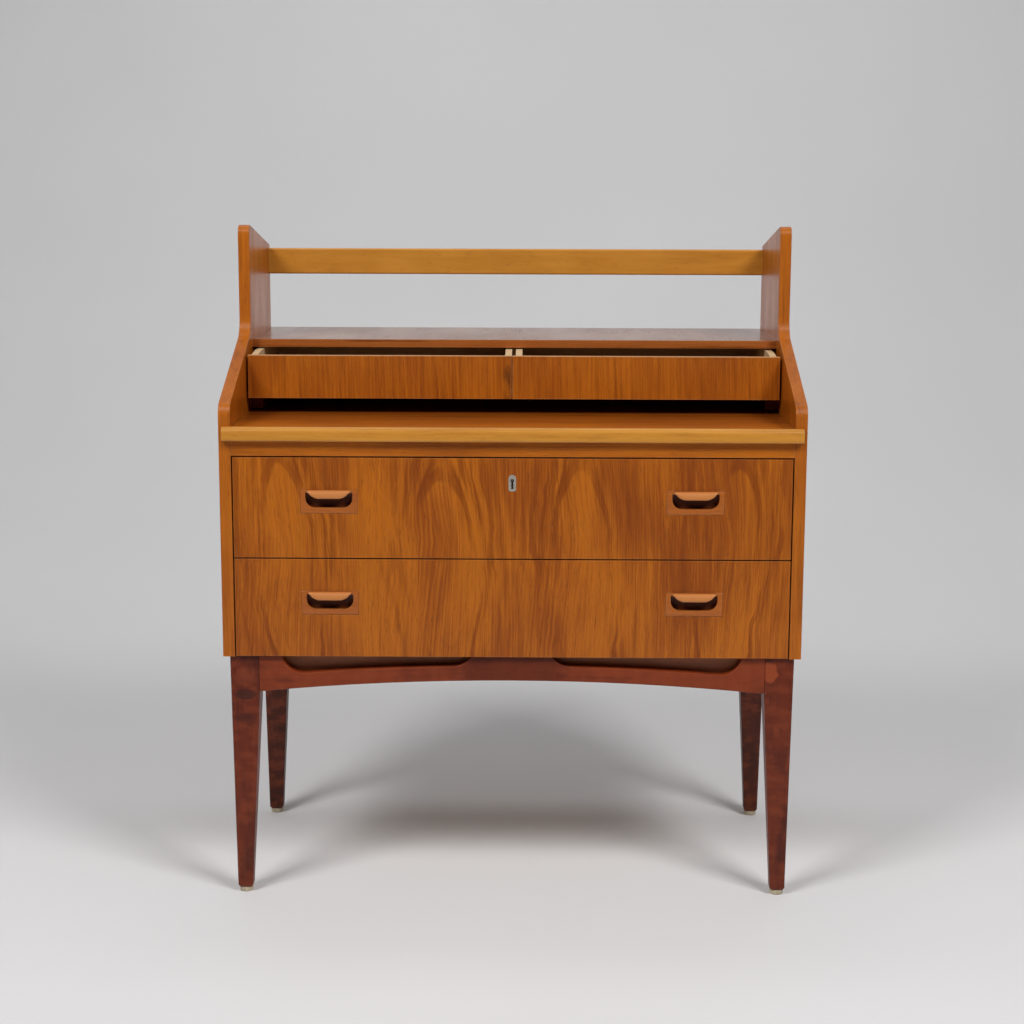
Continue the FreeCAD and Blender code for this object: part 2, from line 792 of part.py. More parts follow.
def small_back(side):
    z0 = small_side_z + small_bottom_lift + small_bottom_thickness
    return block(side * (small_box_outer - small_side_thickness), side * (small_inner + small_side_thickness),
                 small_box_end - small_side_thickness, small_box_end, z0, small_side_top - small_back_drop)


def save_small_drawer(name, side):
    outer_x = small_box_outer - small_side_thickness if side > 0 else -small_box_outer
    inner_x = small_inner if side > 0 else -small_inner - small_side_thickness
    save(name + "_small_drawer_front", small_front(side))
    save(name + "_small_drawer_outer_side", small_side(outer_x, side))
    save(name + "_small_drawer_inner_side", small_side(inner_x, side))
    save(name + "_small_drawer_back", small_back(side))
    save(name + "_small_drawer_bottom", small_bottom(side))


# --- write every piece --------------------------------------------------------------------------------

save("left_side_panel", side_panel(-1))
save("right_side_panel", side_panel(1))
save("shelf", shelf())
save("top_rail", top_rail())
save("case_bottom", case_bottom())
save("back_panel", back_panel())
save("leaf_rail", leaf_rail())
save("dust_board", dust_board())
save("leaf_stop_rail", leaf_stop_rail())
save("leaf_runners", together([leaf_runner(-1), leaf_runner(1)]))
save("drawer_guides", together([drawer_guide(-1), drawer_guide(1)]))
save("centre_runner", centre_runner())
save("large_drawer_runners", together([large_runner(side, front_z) for side in (-1, 1)
                                       for front_z in (lower_front_z, upper_front_z)]))
save("case_screws", case_screws)
save("strike_plate", strike_plate().cut(strike_screws()))
save("strike_plate_screws", strike_screws())

save("front_left_leg", leg(-1, True))
save("front_right_leg", leg(1, True))
save("rear_left_leg", leg(-1, False))
save("rear_right_leg", leg(1, False))
save("front_apron", front_apron())
save("rear_apron", rear_apron())
save("left_apron", side_apron(-1))
save("right_apron", side_apron(1))
save("apron_stiffener", block(-leg_inner, leg_inner, stiffener_front, stiffener_back,
                              leg_height - stiffener_height, leg_height))
save("corner_blocks", together([corner_block(side, front).cut(base_screws)
                                for side, front in corners_of_frame]))
save("base_screws", base_screws)
save("glides", together([glide(side, front) for side, front in corners_of_frame]))

save("leaf_board", leaf_board())
save("leaf_lip", leaf_lip())
save("leaf_stop_pins", together([stop_pin(-1), stop_pin(1)]))

save_small_drawer("left", -1)
save_small_drawer("right", 1)

lower_handle_z = lower_front_z + lower_handle_lift
upper_handle_z = upper_front_z + upper_handle_lift
lower_front = large_front(lower_front_z, lower_front_height, lower_handle_z)
upper_front = large_front(upper_front_z, upper_front_height, upper_handle_z)
for fitting in (lock_solid(), lock_screws(), escutcheon_body(), keyhole(-1, front_thickness + 1), bolt_space()):
    upper_front = upper_front.cut(fitting)
save_large_drawer("lower", lower_front_z, lower_front, lower_handle_z)
save_large_drawer("upper", upper_front_z, upper_front, upper_handle_z)

save("lock_case", lock_case())
save("lock_screws", lock_screws())
save("lock_bolt", lock_bolt())
save("keyhole_escutcheon", escutcheon_body().cut(keyhole(-escutcheon_proud - 1, escutcheon_thickness + 1)))
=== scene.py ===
import math

import bmesh
import bpy
from mathutils import Matrix, Vector


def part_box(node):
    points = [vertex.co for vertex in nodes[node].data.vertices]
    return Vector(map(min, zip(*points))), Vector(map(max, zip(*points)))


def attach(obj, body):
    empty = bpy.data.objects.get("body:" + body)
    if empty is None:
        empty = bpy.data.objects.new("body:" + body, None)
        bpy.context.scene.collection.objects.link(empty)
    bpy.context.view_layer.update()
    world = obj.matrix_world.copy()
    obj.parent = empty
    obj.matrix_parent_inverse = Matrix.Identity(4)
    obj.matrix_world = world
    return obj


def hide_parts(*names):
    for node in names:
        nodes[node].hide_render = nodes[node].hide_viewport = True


# A teak secretary desk on a stained beech base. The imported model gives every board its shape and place;
# this script gives them their timber, carves the four handles, and sets the studio round the desk.

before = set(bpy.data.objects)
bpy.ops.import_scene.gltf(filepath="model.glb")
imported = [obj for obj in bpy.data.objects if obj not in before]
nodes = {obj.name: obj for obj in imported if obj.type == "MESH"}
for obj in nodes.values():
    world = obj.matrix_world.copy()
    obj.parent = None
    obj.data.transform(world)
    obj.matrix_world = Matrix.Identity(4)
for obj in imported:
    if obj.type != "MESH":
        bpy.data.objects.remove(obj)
scene = bpy.context.scene
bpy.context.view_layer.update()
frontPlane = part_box("upper_drawer_front")[0].y
print("frame loaded:", len(nodes), "nodes")


# Small helpers for shader trees

def feed(tree, socket, value):
    if isinstance(value, bpy.types.NodeSocket):
        tree.links.new(value, socket)
    else:
        socket.default_value = value


def addNode(tree, kind, inputs=None, **settings):
    made = tree.nodes.new("ShaderNode" + kind)
    for name, value in settings.items():
        setattr(made, name, value)
    for name, value in (inputs or {}).items():
        feed(tree, made.inputs[name], value)
    return made


def maths(tree, operation, *values, clamp=False):
    return addNode(tree, "Math", dict(enumerate(values)), operation=operation, use_clamp=clamp).outputs[0]


def vectorMaths(tree, operation, *values):
    made = addNode(tree, "VectorMath", dict(enumerate(values)), operation=operation)
    return made.outputs["Value" if operation in ("DOT_PRODUCT", "LENGTH") else "Vector"]


def parts(tree, vector):
    return addNode(tree, "SeparateXYZ", {0: vector}).outputs


def vector(tree, x, y, z):
    return addNode(tree, "CombineXYZ", {0: x, 1: y, 2: z}).outputs[0]


def noise(tree, place, stretch=(1, 1, 1), detail=2.0, roughness=0.5):
    scaled = vectorMaths(tree, "MULTIPLY", place, stretch)
    return addNode(tree, "TexNoise", {"Vector": scaled, "Scale": 1.0, "Detail": detail,
                                      "Roughness": roughness}).outputs["Fac"]


def sway(tree, place, stretch, amount, detail=2.0, roughness=0.5):
    centred = maths(tree, "SUBTRACT", noise(tree, place, stretch, detail, roughness), 0.5)
    return maths(tree, "MULTIPLY", centred, amount)


def remap(tree, value, low, high, toLow=0.0, toHigh=1.0, smooth=True):
    return addNode(tree, "MapRange", {"Value": value, "From Min": low, "From Max": high, "To Min": toLow,
                                      "To Max": toHigh},
                   interpolation_type="SMOOTHSTEP" if smooth else "LINEAR").outputs["Result"]


def mixColours(tree, factor, first, second, blendType="MIX"):
    made = addNode(tree, "Mix", {0: factor, 6: first, 7: second}, data_type="RGBA", blend_type=blendType)
    return made.outputs[2]


def mixVectors(tree, factor, first, second):
    return addNode(tree, "Mix", {0: factor, 4: first, 5: second}, data_type="VECTOR").outputs[1]


def objectPlace(tree):
    return addNode(tree, "TexCoord").outputs["Object"]


def newGroup(name, inputs, outputs):
    tree = bpy.data.node_groups.new(name, "ShaderNodeTree")
    kinds = {"value": "NodeSocketFloat", "colour": "NodeSocketColor", "vector": "NodeSocketVector"}
    for label, kind, value in inputs:
        socket = tree.interface.new_socket(label, in_out="INPUT", socket_type=kinds[kind])
        if value is not None:
            socket.default_value = value
    for label, kind in outputs:
        tree.interface.new_socket(label, in_out="OUTPUT", socket_type=kinds[kind])
    return tree, tree.nodes.new("NodeGroupInput").outputs, tree.nodes.new("NodeGroupOutput").inputs


def useGroup(tree, group, inputs):
    made = tree.nodes.new("ShaderNodeGroup")
    made.node_tree = group
    for name, value in inputs.items():
        feed(tree, made.inputs[name], value)
    return made.outputs


# Shader groups that the timbers share. A figure is a place across, through and along the grain, in metres.

def buildBoardGrain():
    # the face of a planed board: growth lines, streaks, pores, cloudy patches
    tree, given, result = newGroup("boardGrain", [
        ("Figure", "vector", None), ("Light", "colour", (0.5, 0.2, 0.05, 1)),
        ("Middle", "colour", (0.4, 0.14, 0.03, 1)), ("Dark", "colour", (0.2, 0.05, 0.01, 1)),
        ("Line Spacing", "value", 0.006), ("Line Strength", "value", 0.5), ("Streaks", "value", 0.5),
        ("Pores", "value", 0.4), ("Patches", "value", 0.5), ("Satin", "value", 0.31)],
        [("Color", "colour"), ("Roughness", "value"), ("Height", "value")])
    figure = given["Figure"]
    across, through, along = parts(tree, figure)
    waver = noise(tree, figure, (9, 9, 2.2), 2)
    swayed = maths(tree, "ADD", across, maths(tree, "MULTIPLY", waver, 0.010))
    flow = vector(tree, swayed, through, along)
    ringPlace = vector(tree, maths(tree, "DIVIDE", swayed, given["Line Spacing"]),
                       maths(tree, "MULTIPLY", through, 60.0), maths(tree, "MULTIPLY", along, 5.0))
    rings = noise(tree, ringPlace, (0.55, 0.55, 1), 3, 0.62)
    lines = remap(tree, rings, 0.50, 0.66)
    fineLines = remap(tree, noise(tree, ringPlace, (2.3, 2, 2), 2), 0.52, 0.72)
    streaks = remap(tree, noise(tree, flow, (420, 420, 7), 3, 0.6), 0.30, 0.70)
    dashes = noise(tree, flow, (1500, 1500, 55), 1)
    pores = remap(tree, dashes, 0.60, 0.74)
    patches = noise(tree, figure, (11, 11, 4), 3, 0.55)
    tone = maths(tree, "ADD", maths(tree, "MULTIPLY", streaks, given["Streaks"]),
                 maths(tree, "MULTIPLY", remap(tree, patches, 0.32, 0.68, -0.5, 0.5), given["Patches"]))
    tone = maths(tree, "ADD", tone, maths(tree, "MULTIPLY", fineLines, 0.22), clamp=True)
    colour = mixColours(tree, tone, given["Light"], given["Middle"])
    depth = maths(tree, "MULTIPLY", remap(tree, noise(tree, figure, (17, 17, 5), 1), 0.3, 0.7, 0.35, 1.0),
                  given["Line Strength"])
    colour = mixColours(tree, maths(tree, "MULTIPLY", lines, depth), colour, given["Dark"])
    poreDepth = maths(tree, "MULTIPLY", pores, given["Pores"])
    poreColour = mixColours(tree, 0.55, given["Dark"], (0.03, 0.01, 0.004, 1))
    colour = mixColours(tree, poreDepth, colour, poreColour)
    feed(tree, result["Color"], colour)
    gloss = maths(tree, "ADD", given["Satin"], maths(tree, "MULTIPLY", poreDepth, 0.25))
    gloss = maths(tree, "ADD", gloss, remap(tree, patches, 0.3, 0.7, -0.04, 0.05))
    feed(tree, result["Roughness"], maths(tree, "ADD", gloss, maths(tree, "MULTIPLY", streaks, 0.03)))
    height = maths(tree, "SUBTRACT", maths(tree, "MULTIPLY", streaks, 0.25),
                   maths(tree, "MULTIPLY", pores, given["Pores"]))
    feed(tree, result["Height"], maths(tree, "SUBTRACT", height, maths(tree, "MULTIPLY", lines, 0.12)))
    return tree


def buildCrownLeaf():
    # distance through the log of one crown-cut leaf: closed ovals round its centre, straight lines far away
    tree, given, result = newGroup("crownLeaf", [
        ("Across", "value", 0.0), ("Along", "value", 0.0), ("Centre Across", "value", 0.0),
        ("Centre Along", "value", 0.0), ("Half Width", "value", 0.045), ("Upper Length", "value", 0.12),
        ("Lower Length", "value", 0.12), ("Lean", "value", 0.0)], [("Distance", "value")])
    rise = maths(tree, "SUBTRACT", given["Along"], given["Centre Along"])
    isUpper = maths(tree, "GREATER_THAN", rise, 0.0)
    reach = maths(tree, "ADD", maths(tree, "MULTIPLY", isUpper, given["Upper Length"]),
                  maths(tree, "MULTIPLY", maths(tree, "SUBTRACT", 1.0, isUpper), given["Lower Length"]))
    offset = maths(tree, "SUBTRACT", maths(tree, "SUBTRACT", given["Across"], given["Centre Across"]),
                   maths(tree, "MULTIPLY", rise, given["Lean"]))
    share = maths(tree, "DIVIDE", rise, reach)
    fade = maths(tree, "EXPONENT", maths(tree, "MULTIPLY", maths(tree, "MULTIPLY", share, share), -1.0))
    depth = maths(tree, "MULTIPLY", maths(tree, "MULTIPLY", given["Half Width"], given["Half Width"]),
                  maths(tree, "SUBTRACT", 1.0, fade))
    distance = maths(tree, "SQRT", maths(tree, "ADD", maths(tree, "MULTIPLY", offset, offset), depth))
    feed(tree, result["Distance"], distance)
    return tree


def buildLogRings():
    # figure of solid timber sawn from a log whose heart lies beside the board
    tree, given, result = newGroup("logRings", [
        ("Place", "vector", None), ("Heart Across", "value", 0.08), ("Heart Through", "value", 0.05),
        ("Wander", "value", 0.012)], [("Figure", "vector")])
    across, through, along = parts(tree, given["Place"])
    waves = addNode(tree, "TexNoise", {"Vector": vectorMaths(tree, "MULTIPLY", given["Place"], (4, 4, 1.6)),
                                       "Scale": 1.0, "Detail": 2.0}).outputs["Color"]
    drift = vectorMaths(tree, "MULTIPLY", vectorMaths(tree, "SUBTRACT", waves, (0.5, 0.5, 0.5)), (1, 1, 0))
    wander = addNode(tree, "VectorMath", {0: drift, "Scale": given["Wander"]}, operation="SCALE").outputs[0]
    driftX, driftY, _ = parts(tree, wander)
    x = maths(tree, "ADD", maths(tree, "ADD", across, given["Heart Across"]), driftX)
    y = maths(tree, "ADD", maths(tree, "ADD", through, given["Heart Through"]), driftY)
    squares = maths(tree, "ADD", maths(tree, "MULTIPLY", x, x), maths(tree, "MULTIPLY", y, y))
    radius = maths(tree, "SQRT", squares)
    turn = maths(tree, "MULTIPLY", maths(tree, "ARCTAN2", y, x), 0.03)
    feed(tree, result["Figure"], vector(tree, radius, turn, along))
    return tree


def buildEdgeWearAndHighlight():
    # rubbed edges and painted highlight: high where the surface bends sharply, broken up by patches
    tree, given, result = newGroup("edgeWearAndHighlight", [
        ("Place", "vector", None), ("Radius", "value", 0.0025), ("Amount", "value", 0.6)],
        [("Wear And Highlight", "value")])
    plain = addNode(tree, "NewGeometry").outputs["Normal"]
    softened = addNode(tree, "Bevel", {"Radius": given["Radius"]}, samples=4).outputs[0]
    bend = maths(tree, "SUBTRACT", 1.0, vectorMaths(tree, "DOT_PRODUCT", plain, softened))
    edge = remap(tree, bend, 0.01, 0.16)
    patchy = remap(tree, noise(tree, given["Place"], (60, 60, 60), 4, 0.7), 0.36, 0.62, 0.15, 1.0)
    wornAndLit = maths(tree, "MULTIPLY", maths(tree, "MULTIPLY", edge, patchy), given["Amount"], clamp=True)
    feed(tree, result["Wear And Highlight"], wornAndLit)
    return tree


boardGrain = buildBoardGrain()
crownLeaf = buildCrownLeaf()
logRings = buildLogRings()
edgeWearAndHighlight = buildEdgeWearAndHighlight()


# Timbers

def newMaterial(name, **shaderValues):
    material = bpy.data.materials.new(name)
    material.use_nodes = True
    tree = material.node_tree
    shader = tree.nodes["Principled BSDF"]
    for label, value in shaderValues.items():
        shader.inputs[label.replace("_", " ")].default_value = value
    return material, tree, shader


def finishWood(tree, shader, grain, place, relief=0.25, wornAndLitColour=(0.55, 0.30, 0.12, 1), wearAndHighlight=0.35,
               colour=None):
    # edges lightened for rubbed wear and as painted highlight
    wornAndLit = useGroup(tree, edgeWearAndHighlight, {"Place": place, "Amount": wearAndHighlight})["Wear And Highlight"]
    feed(tree, shader.inputs["Base Color"], mixColours(tree, wornAndLit, colour or grain["Color"], wornAndLitColour))
    feed(tree, shader.inputs["Roughness"], grain["Roughness"])
    bump = addNode(tree, "Bump", {"Strength": relief, "Distance": 0.0004, "Height": grain["Height"]})
    feed(tree, shader.inputs["Normal"], bump.outputs[0])


def turned(tree, place, order):
    axes = dict(zip("xyz", parts(tree, place)))
    return vector(tree, *[axes[letter] for letter in order])


teak = {
    "Light": (0.480, 0.134, 0.008, 1),
    "Middle": (0.290, 0.064, 0.003, 1),
    "Dark": (0.115, 0.019, 0.002, 1),
}
lacquer = {"IOR": 1.36, "Coat_Weight": 0.10, "Coat_Roughness": 0.18}
glossLacquer = {"IOR": 1.38, "Coat_Weight": 0.40, "Coat_Roughness": 0.14}


def crownDistance(tree, across, along, leaves):
    distance = None
    for leaf in leaves:
        found = useGroup(tree, crownLeaf, {"Across": across, "Along": along, **leaf})["Distance"]
        distance = found if distance is None else maths(tree, "MINIMUM", distance, found)
    return distance


largeFrontVeneer = {
    "leaves": [
        {"Centre Across": -0.348, "Centre Along": 0.566, "Half Width": 0.044, "Upper Length": 0.120,
         "Lower Length": 0.125, "Lean": -0.10},
        {"Centre Across": -0.104, "Centre Along": 0.572, "Half Width": 0.050, "Upper Length": 0.110,
         "Lower Length": 0.150, "Lean": -0.05},
        {"Centre Across": 0.109, "Centre Along": 0.566, "Half Width": 0.045, "Upper Length": 0.115,
         "Lower Length": 0.140, "Lean": -0.06},
        {"Centre Across": 0.338, "Centre Along": 0.572, "Half Width": 0.046, "Upper Length": 0.115,
         "Lower Length": 0.150, "Lean": 0.07}],
    "wobble": 0.034,
    "tremor": 0.005,
    "lean": 0.35,
    "grain": {"Line Spacing": 0.0050, "Line Strength": 0.30, "Streaks": 0.80, "Patches": 0.90, "Pores": 0.5},
    "flame": (0.185, 0.034, 0.002, 1),
    "flameStrength": 0.80,
}


def makeLargeFrontVeneer():
    material, tree, shader = newMaterial("teakCrownVeneer", **lacquer)
    place = objectPlace(tree)
    x, y, z = parts(tree, place)
    wobble = sway(tree, place, (8, 2, 6), largeFrontVeneer["wobble"], 3, 0.6)
    tremor = sway(tree, place, (30, 2, 22), largeFrontVeneer["tremor"])
    swayed = maths(tree, "ADD", x, maths(tree, "ADD", wobble, tremor))
    distance = crownDistance(tree, swayed, z, largeFrontVeneer["leaves"])
    # fine grain stands upright and leans only a little round each crown
    lean = maths(tree, "MULTIPLY", distance, largeFrontVeneer["lean"])
    upright = vector(tree, maths(tree, "ADD", x, lean), y, z)
    grain = useGroup(tree, boardGrain, {"Figure": upright, **teak, **largeFrontVeneer["grain"]})
    # a crown's middle is calm and cloudy; broad reddish lines gather along its flanks
    flow = vector(tree, distance, y, z)
    gather = maths(tree, "MULTIPLY", remap(tree, distance, 0.024, 0.044, 0.10, 1.0),
                   remap(tree, distance, 0.105, 0.055, 0.30, 1.0))
    broad = remap(tree, noise(tree, flow, (150, 2, 5), 3, 0.55), 0.47, 0.66)
    broken = remap(tree, noise(tree, place, (22, 2, 9), 3), 0.34, 0.60, 0.15, 1.0)
    strength = maths(tree, "MULTIPLY", broken, largeFrontVeneer["flameStrength"])
    flame = maths(tree, "MULTIPLY", maths(tree, "MULTIPLY", broad, gather), strength)
    colour = mixColours(tree, flame, grain["Color"], largeFrontVeneer["flame"])
    finishWood(tree, shader, grain, place, colour=colour)
    return material


smallFrontVeneer = {
    "lean": 0.03,
    "grain": {"Line Spacing": 0.0042, "Line Strength": 0.42, "Streaks": 0.6, "Patches": 0.6},
    "smoke": (0.05, 0.016, 0.006, 1),
    "smokeStrength": 0.65,
    "core": (0.62, 0.36, 0.17, 1),          # the sawn top edge
    "wornAndLit": (0.62, 0.38, 0.20, 1),
    "wearAndHighlight": 0.75,
}


def makeSmallFrontVeneer():
    material, tree, shader = newMaterial("teakDrawerVeneer", **lacquer)
    place = objectPlace(tree)
    x, y, z = parts(tree, place)
    lean = maths(tree, "MULTIPLY", z, smallFrontVeneer["lean"])
    figure = vector(tree, maths(tree, "ADD", x, lean), y, z)
    grain = useGroup(tree, boardGrain, {"Figure": figure, **teak, **smallFrontVeneer["grain"]})
    # a dark smoky streak beside the joint of the two drawers
    smoke = maths(tree, "MULTIPLY", remap(tree, x, -0.021, -0.010), remap(tree, x, -0.0035, -0.006))
    blotch = remap(tree, noise(tree, place, (90, 1, 45), 3), 0.36, 0.62)
    stain = maths(tree, "MULTIPLY", maths(tree, "MULTIPLY", smoke, blotch), smallFrontVeneer["smokeStrength"])
    colour = mixColours(tree, stain, grain["Color"], smallFrontVeneer["smoke"])
    # the sawn top edge shows the paler core
    upward = parts(tree, addNode(tree, "NewGeometry").outputs["Normal"])[2]
    colour = mixColours(tree, remap(tree, upward, 0.5, 0.9, 0.0, 0.8), colour, smallFrontVeneer["core"])
    finishWood(tree, shader, grain, place, colour=colour, wornAndLitColour=smallFrontVeneer["wornAndLit"],
               wearAndHighlight=smallFrontVeneer["wearAndHighlight"])
    return material


sidePanelVeneer = {
    "leaves": [
        {"Centre Across": -0.125, "Centre Along": 0.52, "Half Width": 0.05, "Upper Length": 0.16,
         "Lower Length": 0.12, "Lean": 0.03},
        {"Centre Across": 0.125, "Centre Along": 0.60, "Half Width": 0.05, "Upper Length": 0.15,
         "Lower Length": 0.14, "Lean": -0.02}],
    "wobble": 0.02,
    "lippingLean": 0.012,
    "grain": {"Line Spacing": 0.006, "Line Strength": 0.5, "Patches": 0.45},
}


def makeSidePanelTeak():
    # crown-cut veneer on both faces, solid lipping round the edges
    material, tree, shader = newMaterial("teakSidePanel", **lacquer)
    place = objectPlace(tree)
    x, y, z = parts(tree, place)
    swayed = maths(tree, "ADD", y, sway(tree, place, (2, 6, 4), sidePanelVeneer["wobble"], 3))
    veneer = vector(tree, crownDistance(tree, swayed, z, sidePanelVeneer["leaves"]), 0.0, z)
    lean = maths(tree, "MULTIPLY", z, sidePanelVeneer["lippingLean"])
    lipping = vector(tree, maths(tree, "ADD", x, lean), y, z)
    facing = maths(tree, "ABSOLUTE", parts(tree, addNode(tree, "NewGeometry").outputs["Normal"])[0])
    figure = mixVectors(tree, remap(tree, facing, 0.80, 0.95), lipping, veneer)
    grain = useGroup(tree, boardGrain, {"Figure": figure, **teak, **sidePanelVeneer["grain"]})
    finishWood(tree, shader, grain, place)
    return material


shelfVeneer = {
    "lacquer": {"IOR": 1.42, "Coat_Weight": 0.35, "Coat_Roughness": 0.14},
    # the top's colours are darkened as painted shade
    "topLightInPaintedShade": (0.270, 0.085, 0.014, 1),
    "topMiddleInPaintedShade": (0.150, 0.042, 0.007, 1),
    "bandLight": (0.42, 0.125, 0.026, 1),
    "grain": {"Line Spacing": 0.005, "Line Strength": 0.55, "Satin": 0.24},
}


def makeShelfTeak():
    # veneer grain runs front to back, the lipping along the front edge is redder; the top is painted darker,
    # as painted shade
    material, tree, shader = newMaterial("teakShelf", **shelfVeneer["lacquer"])
    place = objectPlace(tree)
    normalY = parts(tree, addNode(tree, "NewGeometry").outputs["Normal"])[1]
    isBand = remap(tree, normalY, -0.3, -0.8)
    figure = mixVectors(tree, isBand, turned(tree, place, "xzy"), turned(tree, place, "zyx"))
    light = mixColours(tree, isBand, shelfVeneer["topLightInPaintedShade"], shelfVeneer["bandLight"])
    middle = mixColours(tree, isBand, shelfVeneer["topMiddleInPaintedShade"], teak["Middle"])
    grain = useGroup(tree, boardGrain, {"Figure": figure, "Light": light, "Middle": middle,
                                        "Dark": teak["Dark"], **shelfVeneer["grain"]})
    finishWood(tree, shader, grain, place)
    return material


leafTop = {
    "bend": 0.05,
    "grain": {"Line Spacing": 0.008, "Line Strength": 0.45, "Patches": 0.5},
    "frontPaintedLight": (1.08, 1.05, 0.85, 1),
    "rearPaintedShade": (0.58, 0.52, 0.60, 1),     # painted shade: darker and redder towards the back, under the small drawers
}


def makeLeafVeneer():
    material, tree, shader = newMaterial("teakLeafVeneer", **lacquer)
    place = objectPlace(tree)
    x, y, z = parts(tree, place)
    bend = maths(tree, "MULTIPLY", noise(tree, place, (1.5, 5, 1), 2), leafTop["bend"])
    figure = vector(tree, maths(tree, "ADD", y, bend), z, x)
    grain = useGroup(tree, boardGrain, {"Figure": figure, **teak, **leafTop["grain"]})
    # painted light towards the front of the leaf, painted shade towards the back
    paintedLightAndShade = mixColours(tree, remap(tree, y, -0.24, -0.06), leafTop["frontPaintedLight"], leafTop["rearPaintedShade"])
    colour = mixColours(tree, 1.0, grain["Color"], paintedLightAndShade, "MULTIPLY")
    finishWood(tree, shader, grain, place, colour=colour)
    return material


def makeSolidTeak(name, order, heart, colours, finish=lacquer, **values):
    material, tree, shader = newMaterial(name, **finish)
    place = objectPlace(tree)
    figure = useGroup(tree, logRings, {"Place": turned(tree, place, order), "Heart Across": heart[0],
                                       "Heart Through": heart[1]})["Figure"]
    grain = useGroup(tree, boardGrain, {"Figure": figure, **colours, **values})
    finishWood(tree, shader, grain, place)
    return material


honey = {
    "Light": (0.600, 0.262, 0.036, 1),
    "Middle": (0.480, 0.185, 0.018, 1),
    "Dark": (0.25, 0.075, 0.008, 1),
}
handleTeak = {
    "Light": (0.430, 0.120, 0.018, 1),
    "Middle": (0.335, 0.080, 0.010, 1),
    "Dark": (0.18, 0.042, 0.007, 1),
}
stained = {
    "Light": (0.140, 0.020, 0.005, 1),
    "Middle": (0.096, 0.012, 0.0035, 1),
    "Dark": (0.040, 0.006, 0.003, 1),
}
# the front legs' stain painted darker, as painted shade on the rear legs under the desk
rearPaintedShade = {
    "Light": (0.075, 0.012, 0.003, 1),
    "Middle": (0.045, 0.007, 0.002, 1),
    "Dark": (0.025, 0.004, 0.001, 1),
}
stainedApron = {
    "Light": (0.225, 0.038, 0.009, 1),
    "Middle": (0.150, 0.022, 0.006, 1),
    "Dark": (0.070, 0.011, 0.005, 1),
}
# unstained beech, made lighter still as painted light on the stiffener in shade behind the apron
plainBeechAndPaintedLight = {
    "Light": (0.360, 0.130, 0.050, 1),
    "Middle": (0.260, 0.088, 0.032, 1),
    "Dark": (0.130, 0.040, 0.016, 1),
}
beechFinish = {
    "lacquer": {"IOR": 1.33, "Coat_Weight": 0.06, "Coat_Roughness": 0.25},
    "grain": {"Line Spacing": 0.007, "Line Strength": 0.35, "Streaks": 0.5, "Pores": 0.25, "Patches": 0.7,
              "Satin": 0.40},
    "curl": (0.26, 0.050, 0.014, 1),
    "wornAndLit": (0.30, 0.10, 0.05, 1),
    "wearAndHighlight": 0.45,
}


def makeStainedBeech(name, order, heart, colours=stained, marks=None):
    material, tree, shader = newMaterial(name, **beechFinish["lacquer"])
    place = objectPlace(tree)
    board = turned(tree, place, order)
    figure = useGroup(tree, logRings, {"Place": board, "Heart Across": heart[0], "Heart Through": heart[1],
                                       "Wander": 0.02})["Figure"]
    grain = useGroup(tree, boardGrain, {"Figure": figure, **colours, **beechFinish["grain"]})
    # curly mottle where the stain took unevenly
    curl = noise(tree, board, (34, 34, 60), 2)
    blotch = noise(tree, board, (24, 24, 11), 3, 0.6)
    colour = mixColours(tree, remap(tree, curl, 0.40, 0.65, 0.0, 0.35), grain["Color"], beechFinish["curl"])
    colour = mixColours(tree, remap(tree, blotch, 0.54, 0.72, 0.0, 0.6), colour, colours["Dark"])
    for mark in marks or []:
        # one oval patch with a ragged rim: lighter or darker stain on the legs, painted shade on the apron
        away = vectorMaths(tree, "SUBTRACT", place, mark["centre"])
        offset = vectorMaths(tree, "DIVIDE", away, mark["reach"])
        rim = maths(tree, "ADD", vectorMaths(tree, "LENGTH", offset),
                    maths(tree, "MULTIPLY", noise(tree, place, (110, 110, 110), 2), 0.7))
        colour = mixColours(tree, remap(tree, rim, 1.5, 1.1, 0.0, mark["depth"]), colour, mark["colour"])
    finishWood(tree, shader, grain, place, colour=colour, wornAndLitColour=beechFinish["wornAndLit"],
               wearAndHighlight=beechFinish["wearAndHighlight"])
    return material


paleBirch = {"Light": (0.66, 0.47, 0.27, 1), "Middle": (0.54, 0.36, 0.19, 1), "Dark": (0.33, 0.19, 0.085, 1)}
birchPly = {"Light": (0.50, 0.33, 0.17, 1), "Middle": (0.42, 0.26, 0.12, 1), "Dark": (0.33, 0.19, 0.085, 1)}
paleFinish = {
    "grain": {"Line Spacing": 0.006, "Line Strength": 0.35, "Streaks": 0.4, "Pores": 0.15, "Patches": 0.5,
              "Satin": 0.55},
    "wornAndLit": (0.74, 0.56, 0.36, 1),
    "wearAndHighlight": 0.3,
}


def makePaleWood(name, order, colours=paleBirch):
    material, tree, shader = newMaterial(name, IOR=1.45)
    place = objectPlace(tree)
    figure = useGroup(tree, logRings, {"Place": turned(tree, place, order)})["Figure"]
    grain = useGroup(tree, boardGrain, {"Figure": figure, **colours, **paleFinish["grain"]})
    finishWood(tree, shader, grain, place, wornAndLitColour=paleFinish["wornAndLit"], wearAndHighlight=paleFinish["wearAndHighlight"])
    return material


metals = {
    "agedNickel": {"colour": (0.88, 0.82, 0.72, 1), "roughness": 0.46, "scratches": 0.15},
    "zincSteel": {"colour": (0.52, 0.51, 0.49, 1), "roughness": 0.38, "scratches": 0.25},
}
tarnished = 0.45        # share of a metal's colour that its dull patches keep


